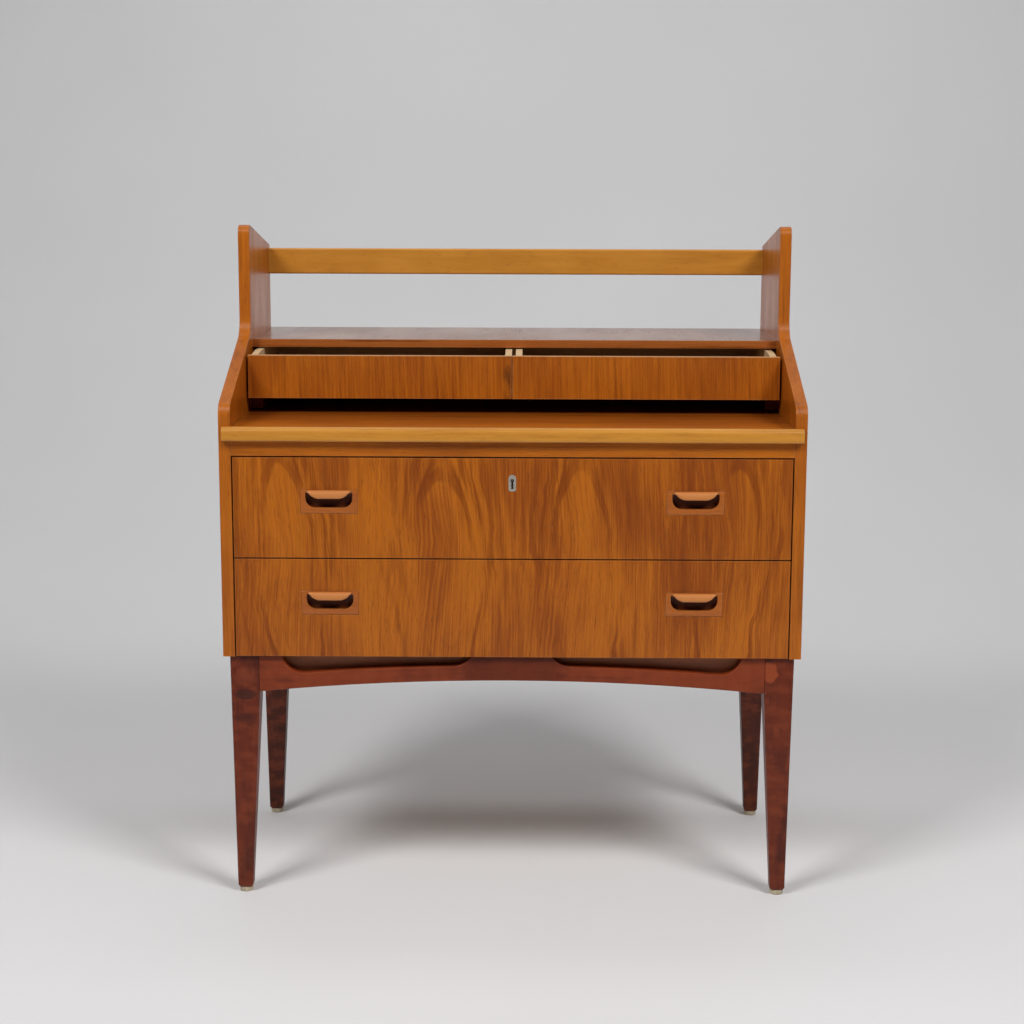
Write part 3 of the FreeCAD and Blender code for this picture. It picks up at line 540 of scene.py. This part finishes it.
def makeMetal(name):
    colour, roughness, scratches = metals[name].values()
    material, tree, shader = newMaterial(name, Metallic=1.0)
    place = objectPlace(tree)
    brushed = noise(tree, place, (300, 300, 2500), 3)
    tarnish = noise(tree, place, (130, 130, 130), 4, 0.65)
    dull = mixColours(tree, remap(tree, tarnish, 0.45, 0.70, 0.0, 0.55), colour,
                      [part * tarnished for part in colour[:3]] + [1])
    feed(tree, shader.inputs["Base Color"], dull)
    rough = maths(tree, "ADD", remap(tree, brushed, 0.3, 0.7, -0.05, 0.08), roughness)
    rough = maths(tree, "ADD", rough, remap(tree, tarnish, 0.45, 0.7, 0.0, 0.15))
    feed(tree, shader.inputs["Roughness"], rough)
    bump = addNode(tree, "Bump", {"Strength": scratches, "Distance": 0.0001, "Height": brushed})
    feed(tree, shader.inputs["Normal"], bump.outputs[0])
    return material


glideFinish = {
    "clean": (0.58, 0.50, 0.36, 1),
    "grimy": (0.38, 0.31, 0.20, 1),
    "sole": (0.20, 0.16, 0.11, 1),
    "soleHeight": 0.0016,
}


def makeGlidePlastic():
    material, tree, shader = newMaterial("glidePlastic", IOR=1.5)
    place = objectPlace(tree)
    grime = noise(tree, place, (220, 220, 220), 4, 0.6)
    height = parts(tree, place)[2]
    colour = mixColours(tree, remap(tree, grime, 0.35, 0.7), glideFinish["clean"], glideFinish["grimy"])
    onSole = remap(tree, height, glideFinish["soleHeight"], 0.0, 0.0, 0.5)
    colour = mixColours(tree, onSole, colour, glideFinish["sole"])
    feed(tree, shader.inputs["Base Color"], colour)
    feed(tree, shader.inputs["Roughness"], remap(tree, grime, 0.3, 0.7, 0.42, 0.62))
    bump = addNode(tree, "Bump", {"Strength": 0.2, "Distance": 0.0002, "Height": grime})
    feed(tree, shader.inputs["Normal"], bump.outputs[0])
    return material


handleFinish = {
    "grain": {"Line Spacing": 0.006, "Line Strength": 0.4},
    "scoopStart": 0.0020, "scoopEnd": 0.0100,       # behind the drawer front
    # grime and painted shade inside the scoop
    "scooped": (0.115, 0.026, 0.007, 1),
    "lipStart": 0.0022, "lipEnd": 0.0060,           # before the drawer front
    # polish and painted highlight on the lip
    "lip": (0.600, 0.235, 0.070, 1),
    "lipStrength": 0.75,
}


def makeHandleTeak():
    material, tree, shader = newMaterial("teakHandle", **lacquer)
    place = objectPlace(tree)
    figure = useGroup(tree, logRings, {"Place": turned(tree, place, "zyx"), "Heart Across": -0.5,
                                       "Heart Through": 0.3})["Figure"]
    grain = useGroup(tree, boardGrain, {"Figure": figure, **handleTeak, **handleFinish["grain"]})
    # hand grime and painted shade darken the scoop; polish and a painted highlight make the lip lighter
    y = parts(tree, place)[1]
    inScoop = remap(tree, y, frontPlane + handleFinish["scoopStart"], frontPlane + handleFinish["scoopEnd"])
    onLipPolishAndHighlight = remap(tree, y, frontPlane - handleFinish["lipStart"], frontPlane - handleFinish["lipEnd"], 0.0,
                  handleFinish["lipStrength"])
    scooped = mixColours(tree, inScoop, grain["Color"], handleFinish["scooped"])
    colour = mixColours(tree, onLipPolishAndHighlight, scooped, handleFinish["lip"])
    finishWood(tree, shader, grain, place, colour=colour)
    return material


legMarks = [
    {"centre": (-0.417, -0.239, 0.327), "reach": (0.016, 0.02, 0.009), "depth": 0.75,
     "colour": (0.04, 0.010, 0.006, 1)},
    {"centre": (-0.421, -0.239, 0.290), "reach": (0.015, 0.02, 0.007), "depth": 0.55,
     "colour": (0.05, 0.011, 0.006, 1)},
    {"centre": (-0.416, -0.239, 0.357), "reach": (0.020, 0.02, 0.016), "depth": 0.30,
     "colour": (0.24, 0.050, 0.018, 1)},
    {"centre": (0.403, -0.239, 0.367), "reach": (0.013, 0.02, 0.016), "depth": 0.75,
     "colour": (0.33, 0.062, 0.016, 1)}]
# painted shade: a dark oval across the middle of the front apron
apronPaintedShade = [
    {"centre": (0.0, -0.2375, 0.365), "reach": (0.085, 0.05, 0.06), "depth": 0.6,
     "colour": (0.085, 0.013, 0.004, 1)}]

largeFront = makeLargeFrontVeneer()
smallFront = makeSmallFrontVeneer()
sidePanel = makeSidePanelTeak()
shelfTeak = makeShelfTeak()
leafVeneer = makeLeafVeneer()
topRailTeak = makeSolidTeak("teakTopRail", "zyx", (-0.93, 0.1), honey, glossLacquer,
                            **{"Line Spacing": 0.008, "Line Strength": 0.3, "Pores": 0.15})
lipTeak = makeSolidTeak("teakLip", "zyx", (-0.70, 0.35), honey, glossLacquer,
                        **{"Line Spacing": 0.006, "Line Strength": 0.3, "Pores": 0.2})
leafRailTeak = makeSolidTeak("teakLeafRail", "zyx", (-0.66, 0.3), teak,
                             **{"Line Spacing": 0.007, "Line Strength": 0.35})
handleWood = makeHandleTeak()
legBeech = makeStainedBeech("beechLeg", "xyz", (0.06, 0.31), marks=legMarks)
# the rear legs carry painted shade in their colours
rearLegBeech = makeStainedBeech("beechRearLeg", "xyz", (0.06, 0.31), rearPaintedShade)
apronBeech = makeStainedBeech("beechApron", "zyx", (-0.30, 0.33), stainedApron, apronPaintedShade)
# the stiffener's colours hold painted light
stiffenerBeech = makeSolidTeak("beechStiffener", "zyx", (-0.36, 0.28), plainBeechAndPaintedLight,
                               **{"Line Spacing": 0.007, "Line Strength": 0.35, "Pores": 0.2, "Satin": 0.42})
sideApronBeech = makeStainedBeech("beechSideApron", "zxy", (-0.30, 0.5), stainedApron)
birchAlongY = makePaleWood("birchSides", "zxy")
birchAlongX = makePaleWood("birchBacks", "zyx")
plywood = makePaleWood("plywoodPanel", "yzx", birchPly)
nickel = makeMetal("agedNickel")
steel = makeMetal("zincSteel")
glidePlastic = makeGlidePlastic()
print("materials made:", len(bpy.data.materials))

finishes = {
    largeFront: ["upper_drawer_front", "lower_drawer_front"],
    smallFront: ["left_small_drawer_front", "right_small_drawer_front"],
    sidePanel: ["left_side_panel", "right_side_panel"],
    shelfTeak: ["shelf"],
    leafVeneer: ["leaf_board"],
    topRailTeak: ["top_rail"],
    lipTeak: ["leaf_lip"],
    leafRailTeak: ["leaf_rail"],
    handleWood: ["upper_drawer_left_handle", "upper_drawer_right_handle", "lower_drawer_left_handle",
                 "lower_drawer_right_handle"],
    legBeech: ["front_left_leg", "front_right_leg"],
    rearLegBeech: ["rear_left_leg", "rear_right_leg"],
    apronBeech: ["front_apron", "rear_apron"],
    stiffenerBeech: ["apron_stiffener"],
    sideApronBeech: ["left_apron", "right_apron", "drawer_guides"],
    birchAlongY: ["upper_drawer_left_side", "upper_drawer_right_side", "lower_drawer_left_side",
                  "lower_drawer_right_side", "left_small_drawer_outer_side", "left_small_drawer_inner_side",
                  "right_small_drawer_outer_side", "right_small_drawer_inner_side", "leaf_runners",
                  "centre_runner", "large_drawer_runners", "corner_blocks"],
    birchAlongX: ["upper_drawer_back", "lower_drawer_back", "left_small_drawer_back",
                  "right_small_drawer_back", "leaf_stop_rail", "leaf_stop_pins"],
    plywood: ["case_bottom", "back_panel", "dust_board", "upper_drawer_bottom", "lower_drawer_bottom",
              "left_small_drawer_bottom", "right_small_drawer_bottom"],
    nickel: ["keyhole_escutcheon"],
    steel: ["lock_case", "lock_bolt", "strike_plate", "case_screws", "base_screws", "lock_screws",
            "strike_plate_screws"],
    glidePlastic: ["glides"],
}
for material, names in finishes.items():
    for name in names:
        slots = nodes[name].data.materials
        if len(slots) == 0:
            slots.append(material)
        for index in range(len(slots)):
            slots[index] = material
unfinished = set(nodes) - {name for names in finishes.values() for name in names}
print("nodes without a finish:", sorted(unfinished))


# Handles: a plate let into the drawer front, scooped out for the fingertips, with a lip to pull on

handle = {
    "plate": (0.0879, 0.0240, 0.0364), "proud": 0.0008, "arris": 0.0009,
    "scoopHalf": 0.0362, "scoopTop": 0.0135, "scoopBottom": -0.0098, "scoopTurn": 0.0150, "scoopDepth": 0.013,
    "scoopReach": 0.006, "scoopRound": 0.005,
    "lipPath": [(0.0030, 0.0162), (-0.0028, 0.0161), (-0.0058, 0.0146), (-0.0071, 0.0108), (-0.0070, 0.0050)],
    "lipHalf": 0.0275, "lipFlare": 0.0072, "lipFlareCurve": 1.6, "lipThickness": 0.0044, "lipColumns": 12,
    "lipCornerLift": 0.0045, "lipCornerStart": 0.70, "lipCornerCurl": 0.3,
    "sharpAngle": math.radians(32),
}


def tempObject(name, mesh):
    data = bpy.data.meshes.new(name)
    mesh.to_mesh(data)
    mesh.free()
    made = bpy.data.objects.new(name, data)
    scene.collection.objects.link(made)
    return made


def handlePlate():
    mesh = bmesh.new()
    width, depth, height = handle["plate"]
    bmesh.ops.create_cube(mesh, size=1.0)
    bmesh.ops.scale(mesh, vec=(width, depth, height), verts=mesh.verts)
    bmesh.ops.translate(mesh, vec=(0, depth / 2 - handle["proud"], 0), verts=mesh.verts)
    bmesh.ops.bevel(mesh, geom=mesh.edges, offset=handle["arris"], affect="EDGES", segments=3, profile=0.5,
                    material=-1)
    return tempObject("handlePlate", mesh)


def handleScoop():
    # the cutter's lower corners and back edges are round, so the fingers slide up behind the lip
    mesh = bmesh.new()
    half, low, turn, reach = [handle["scoop" + label] for label in ("Half", "Bottom", "Turn", "Reach")]
    outline = [(-half, handle["scoopTop"]), (half, handle["scoopTop"])]
    steps = 8
    for side, start in ((1, 0.0), (-1, -0.5 * math.pi)):
        for step in range(steps + 1):
            angle = start - 0.5 * math.pi * step / steps
            outline.append((side * (half - turn) + turn * math.cos(angle),
                            low + turn + turn * math.sin(angle)))
    face = mesh.faces.new([mesh.verts.new((x, -reach, z)) for x, z in outline])
    made = bmesh.ops.extrude_face_region(mesh, geom=[face])["geom"]
    bmesh.ops.translate(mesh, vec=(0, handle["scoopDepth"] + reach, 0),
                        verts=[part for part in made if isinstance(part, bmesh.types.BMVert)])
    back = [edge for edge in mesh.edges if all(vert.co.y > 0.001 for vert in edge.verts)]
    bmesh.ops.bevel(mesh, geom=back, offset=handle["scoopRound"], affect="EDGES", segments=5, profile=0.5,
                    material=-1)
    bmesh.ops.recalc_face_normals(mesh, faces=mesh.faces)
    return tempObject("handleScoop", mesh)


def handleLip():
    mesh = bmesh.new()
    path, columns, cornerStart = handle["lipPath"], handle["lipColumns"], handle["lipCornerStart"]
    rows = []
    for y, z in path:
        share = (path[0][1] - z) / (path[0][1] - path[-1][1])
        half = handle["lipHalf"] + handle["lipFlare"] * (1 - share) ** handle["lipFlareCurve"]
        row = []
        for column in range(columns + 1):
            side = 2 * column / columns - 1
            corner = max(0.0, abs(side) - cornerStart) / (1 - cornerStart)
            lift = handle["lipCornerLift"] * share * corner
            row.append(mesh.verts.new((side * half, y + handle["lipCornerCurl"] * lift, z + lift)))
        rows.append(row)
    for upper, lower in zip(rows, rows[1:]):
        for column in range(columns):
            mesh.faces.new((upper[column], lower[column], lower[column + 1], upper[column + 1]))
    bmesh.ops.recalc_face_normals(mesh, faces=mesh.faces)
    made = tempObject("handleLip", mesh)
    shell = made.modifiers.new("shell", "SOLIDIFY")
    shell.thickness = handle["lipThickness"]
    shell.offset = 0.0
    smooth = made.modifiers.new("smooth", "SUBSURF")
    smooth.levels = 2
    smooth.render_levels = 2
    return made


def buildHandleShape():
    body, scoop, lip = handlePlate(), handleScoop(), handleLip()
    for operation, tool in (("DIFFERENCE", scoop), ("UNION", lip)):
        change = body.modifiers.new(operation.lower(), "BOOLEAN")
        change.operation = operation
        change.object = tool
        change.solver = "EXACT"
    shape = bpy.data.meshes.new_from_object(body.evaluated_get(bpy.context.evaluated_depsgraph_get()))
    for used in (body, scoop, lip):
        bpy.data.objects.remove(used)
    return shape


handleShape = buildHandleShape()
for drawer in ("upper_drawer", "lower_drawer"):
    for side in ("left", "right"):
        node = drawer + "_" + side + "_handle"
        low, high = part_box(node)
        shape = handleShape.copy()
        shape.transform(Matrix.Translation(((low.x + high.x) / 2, frontPlane, (low.z + high.z) / 2)))
        shape.materials.clear()
        shape.materials.append(handleWood)
        shape.shade_smooth()
        shape.set_sharp_from_angle(angle=handle["sharpAngle"])
        piece = bpy.data.objects.new("carved_" + node, shape)
        scene.collection.objects.link(piece)
        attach(piece, drawer)
        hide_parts(node)
print("handles carved:", len(handleShape.polygons), "faces each")


# Edges broken with glass paper

brokenEdges = {
    "widths": {"front_apron": 0.0012, "rear_apron": 0.0012, "left_apron": 0.0012, "right_apron": 0.0012,
               "apron_stiffener": 0.0010},
    "weld": 0.00002,
    "sharperThan": math.radians(35),
}
for name, width in brokenEdges["widths"].items():
    weld = nodes[name].modifiers.new("weld", "WELD")
    weld.merge_threshold = brokenEdges["weld"]
    bevel = nodes[name].modifiers.new("brokenEdge", "BEVEL")
    bevel.width = width
    bevel.segments = 2
    bevel.limit_method = "ANGLE"
    bevel.angle_limit = brokenEdges["sharperThan"]
print("edges broken on", len(brokenEdges["widths"]), "boards")


# Studio

studio = {
    "floorFront": -9.0, "bendStart": 1.3, "bendRadius": 2.2, "wallTop": 5.2, "halfWidth": 7.0,
    "paper": (0.80, 0.80, 0.815, 1), "mirroredPaper": (0.04, 0.04, 0.04, 1),
}


def makeBackdrop():
    material, tree, shader = newMaterial("backdropPaper")
    place = objectPlace(tree)
    cloud = noise(tree, place, (1.2, 1.2, 1.2), 2)
    colour = mixColours(tree, remap(tree, cloud, 0.3, 0.7), studio["paper"],
                        [part * 0.97 for part in studio["paper"][:3]] + [1])
    # the floor before the desk is not mirrored in its lacquer
    lightPath = addNode(tree, "LightPath").outputs
    inFront = remap(tree, parts(tree, place)[1], -0.9, -2.2)
    mirrored = maths(tree, "MULTIPLY", lightPath["Is Glossy Ray"], inFront)
    seenPaper = mixColours(tree, mirrored, colour, studio["mirroredPaper"])
    feed(tree, shader.inputs["Base Color"], seenPaper)
    shader.inputs["Roughness"].default_value = 0.9
    shader.inputs["Specular IOR Level"].default_value = 0.1
    # from behind, the camera looks through the paper
    clear = addNode(tree, "BsdfTransparent").outputs[0]
    fromBehind = maths(tree, "MULTIPLY", addNode(tree, "NewGeometry").outputs["Backfacing"],
                       lightPath["Is Camera Ray"])
    seen = addNode(tree, "MixShader", {0: fromBehind, 1: shader.outputs[0], 2: clear})
    feed(tree, tree.nodes["Material Output"].inputs["Surface"], seen.outputs[0])
    mesh = bmesh.new()
    corners = [mesh.verts.new((side * studio["halfWidth"], studio["floorFront"], 0)) for side in (-1, 1)]
    edges = [mesh.edges.new(corners)]

    def carry(offset):
        made = bmesh.ops.extrude_edge_only(mesh, edges=edges)["geom"]
        bmesh.ops.translate(mesh, vec=offset,
                            verts=[part for part in made if isinstance(part, bmesh.types.BMVert)])
        return [part for part in made if isinstance(part, bmesh.types.BMEdge) and len(part.link_faces) == 1
                and all(vert in made for vert in part.verts)]

    edges = carry((0, studio["bendStart"] - studio["floorFront"], 0))
    spun = bmesh.ops.spin(mesh, geom=edges, cent=(0, studio["bendStart"], studio["bendRadius"]),
                          axis=(1, 0, 0), angle=math.pi / 2, steps=32, use_merge=False)["geom_last"]
    edges = [part for part in spun if isinstance(part, bmesh.types.BMEdge)]
    edges = carry((0, 0, studio["wallTop"] - studio["bendRadius"]))
    bmesh.ops.remove_doubles(mesh, verts=mesh.verts, dist=0.0001)
    data = bpy.data.meshes.new("backdrop")
    mesh.to_mesh(data)
    mesh.free()
    data.materials.append(material)
    data.shade_smooth()
    if data.polygons[0].normal.z < 0:
        data.flip_normals()
    backdrop = bpy.data.objects.new("backdrop", data)
    scene.collection.objects.link(backdrop)


softboxes = {
    "leftKey": {"from": (-2.0, -2.45, 3.45), "aim": (0, 0.0, 0.4), "size": (1.3, 1.3), "power": 86},
    "rightKey": {"from": (2.0, -2.45, 3.45), "aim": (0, 0.0, 0.4), "size": (1.3, 1.3), "power": 92},
    "ceiling": {"from": (0, 0.8, 3.4), "aim": (0, 3.2, 0.9), "size": (2.2, 1.4), "power": 20},
}
lampColour = (1.0, 0.985, 0.965)
air = {"colour": (0.93, 0.96, 1.0, 1), "dark": 0.03, "open": 0.215, "seen": 0.5}


def makeLights():
    for name, box in softboxes.items():
        light = bpy.data.lights.new(name, "AREA")
        light.shape = "RECTANGLE"
        light.size, light.size_y = box["size"]
        light.energy = box["power"]
        light.color = lampColour
        lamp = bpy.data.objects.new(name, light)
        lamp.location = box["from"]
        beam = Vector(box["aim"]) - Vector(box["from"])
        lamp.rotation_euler = beam.to_track_quat("-Z", "Y").to_euler()
        lamp.visible_camera = False
        scene.collection.objects.link(lamp)
    world = bpy.data.worlds.new("studioAir")
    scene.world = world
    world.use_nodes = True
    tree = world.node_tree
    background = tree.nodes["Background"]
    background.inputs["Color"].default_value = air["colour"]
    # the room in front of the desk is dark, so that its lacquered fronts mirror little
    isCamera = addNode(tree, "LightPath").outputs["Is Camera Ray"]
    toward = parts(tree, addNode(tree, "TexCoord").outputs["Generated"])
    openness = maths(tree, "MAXIMUM", remap(tree, toward[1], -0.5, 0.3, air["dark"], air["open"]),
                     remap(tree, toward[2], 0.35, 0.8, air["dark"], air["open"]))
    seen = maths(tree, "MULTIPLY", isCamera, air["seen"])
    feed(tree, background.inputs["Strength"], maths(tree, "MAXIMUM", openness, seen))


cameraSettings = {
    "place": (0.02675, -3.24055, 1.15414), "pan": 0.00903, "pitch": math.pi / 2 - 0.17616, "roll": 0.00318,
    "lens": 69.61, "sensor": 36.0,
}


def makeCamera():
    data = bpy.data.cameras.new("studioCamera")
    data.lens = cameraSettings["lens"]
    data.sensor_width = cameraSettings["sensor"]
    camera = bpy.data.objects.new("studioCamera", data)
    turn = (Matrix.Rotation(cameraSettings["pan"], 4, "Z")
            @ Matrix.Rotation(cameraSettings["pitch"], 4, "X")
            @ Matrix.Rotation(cameraSettings["roll"], 4, "Z"))
    camera.matrix_world = Matrix.Translation(cameraSettings["place"]) @ turn
    scene.collection.objects.link(camera)
    scene.camera = camera


makeBackdrop()
makeLights()
makeCamera()
scene.view_settings.view_transform = "Standard"
print("studio ready")
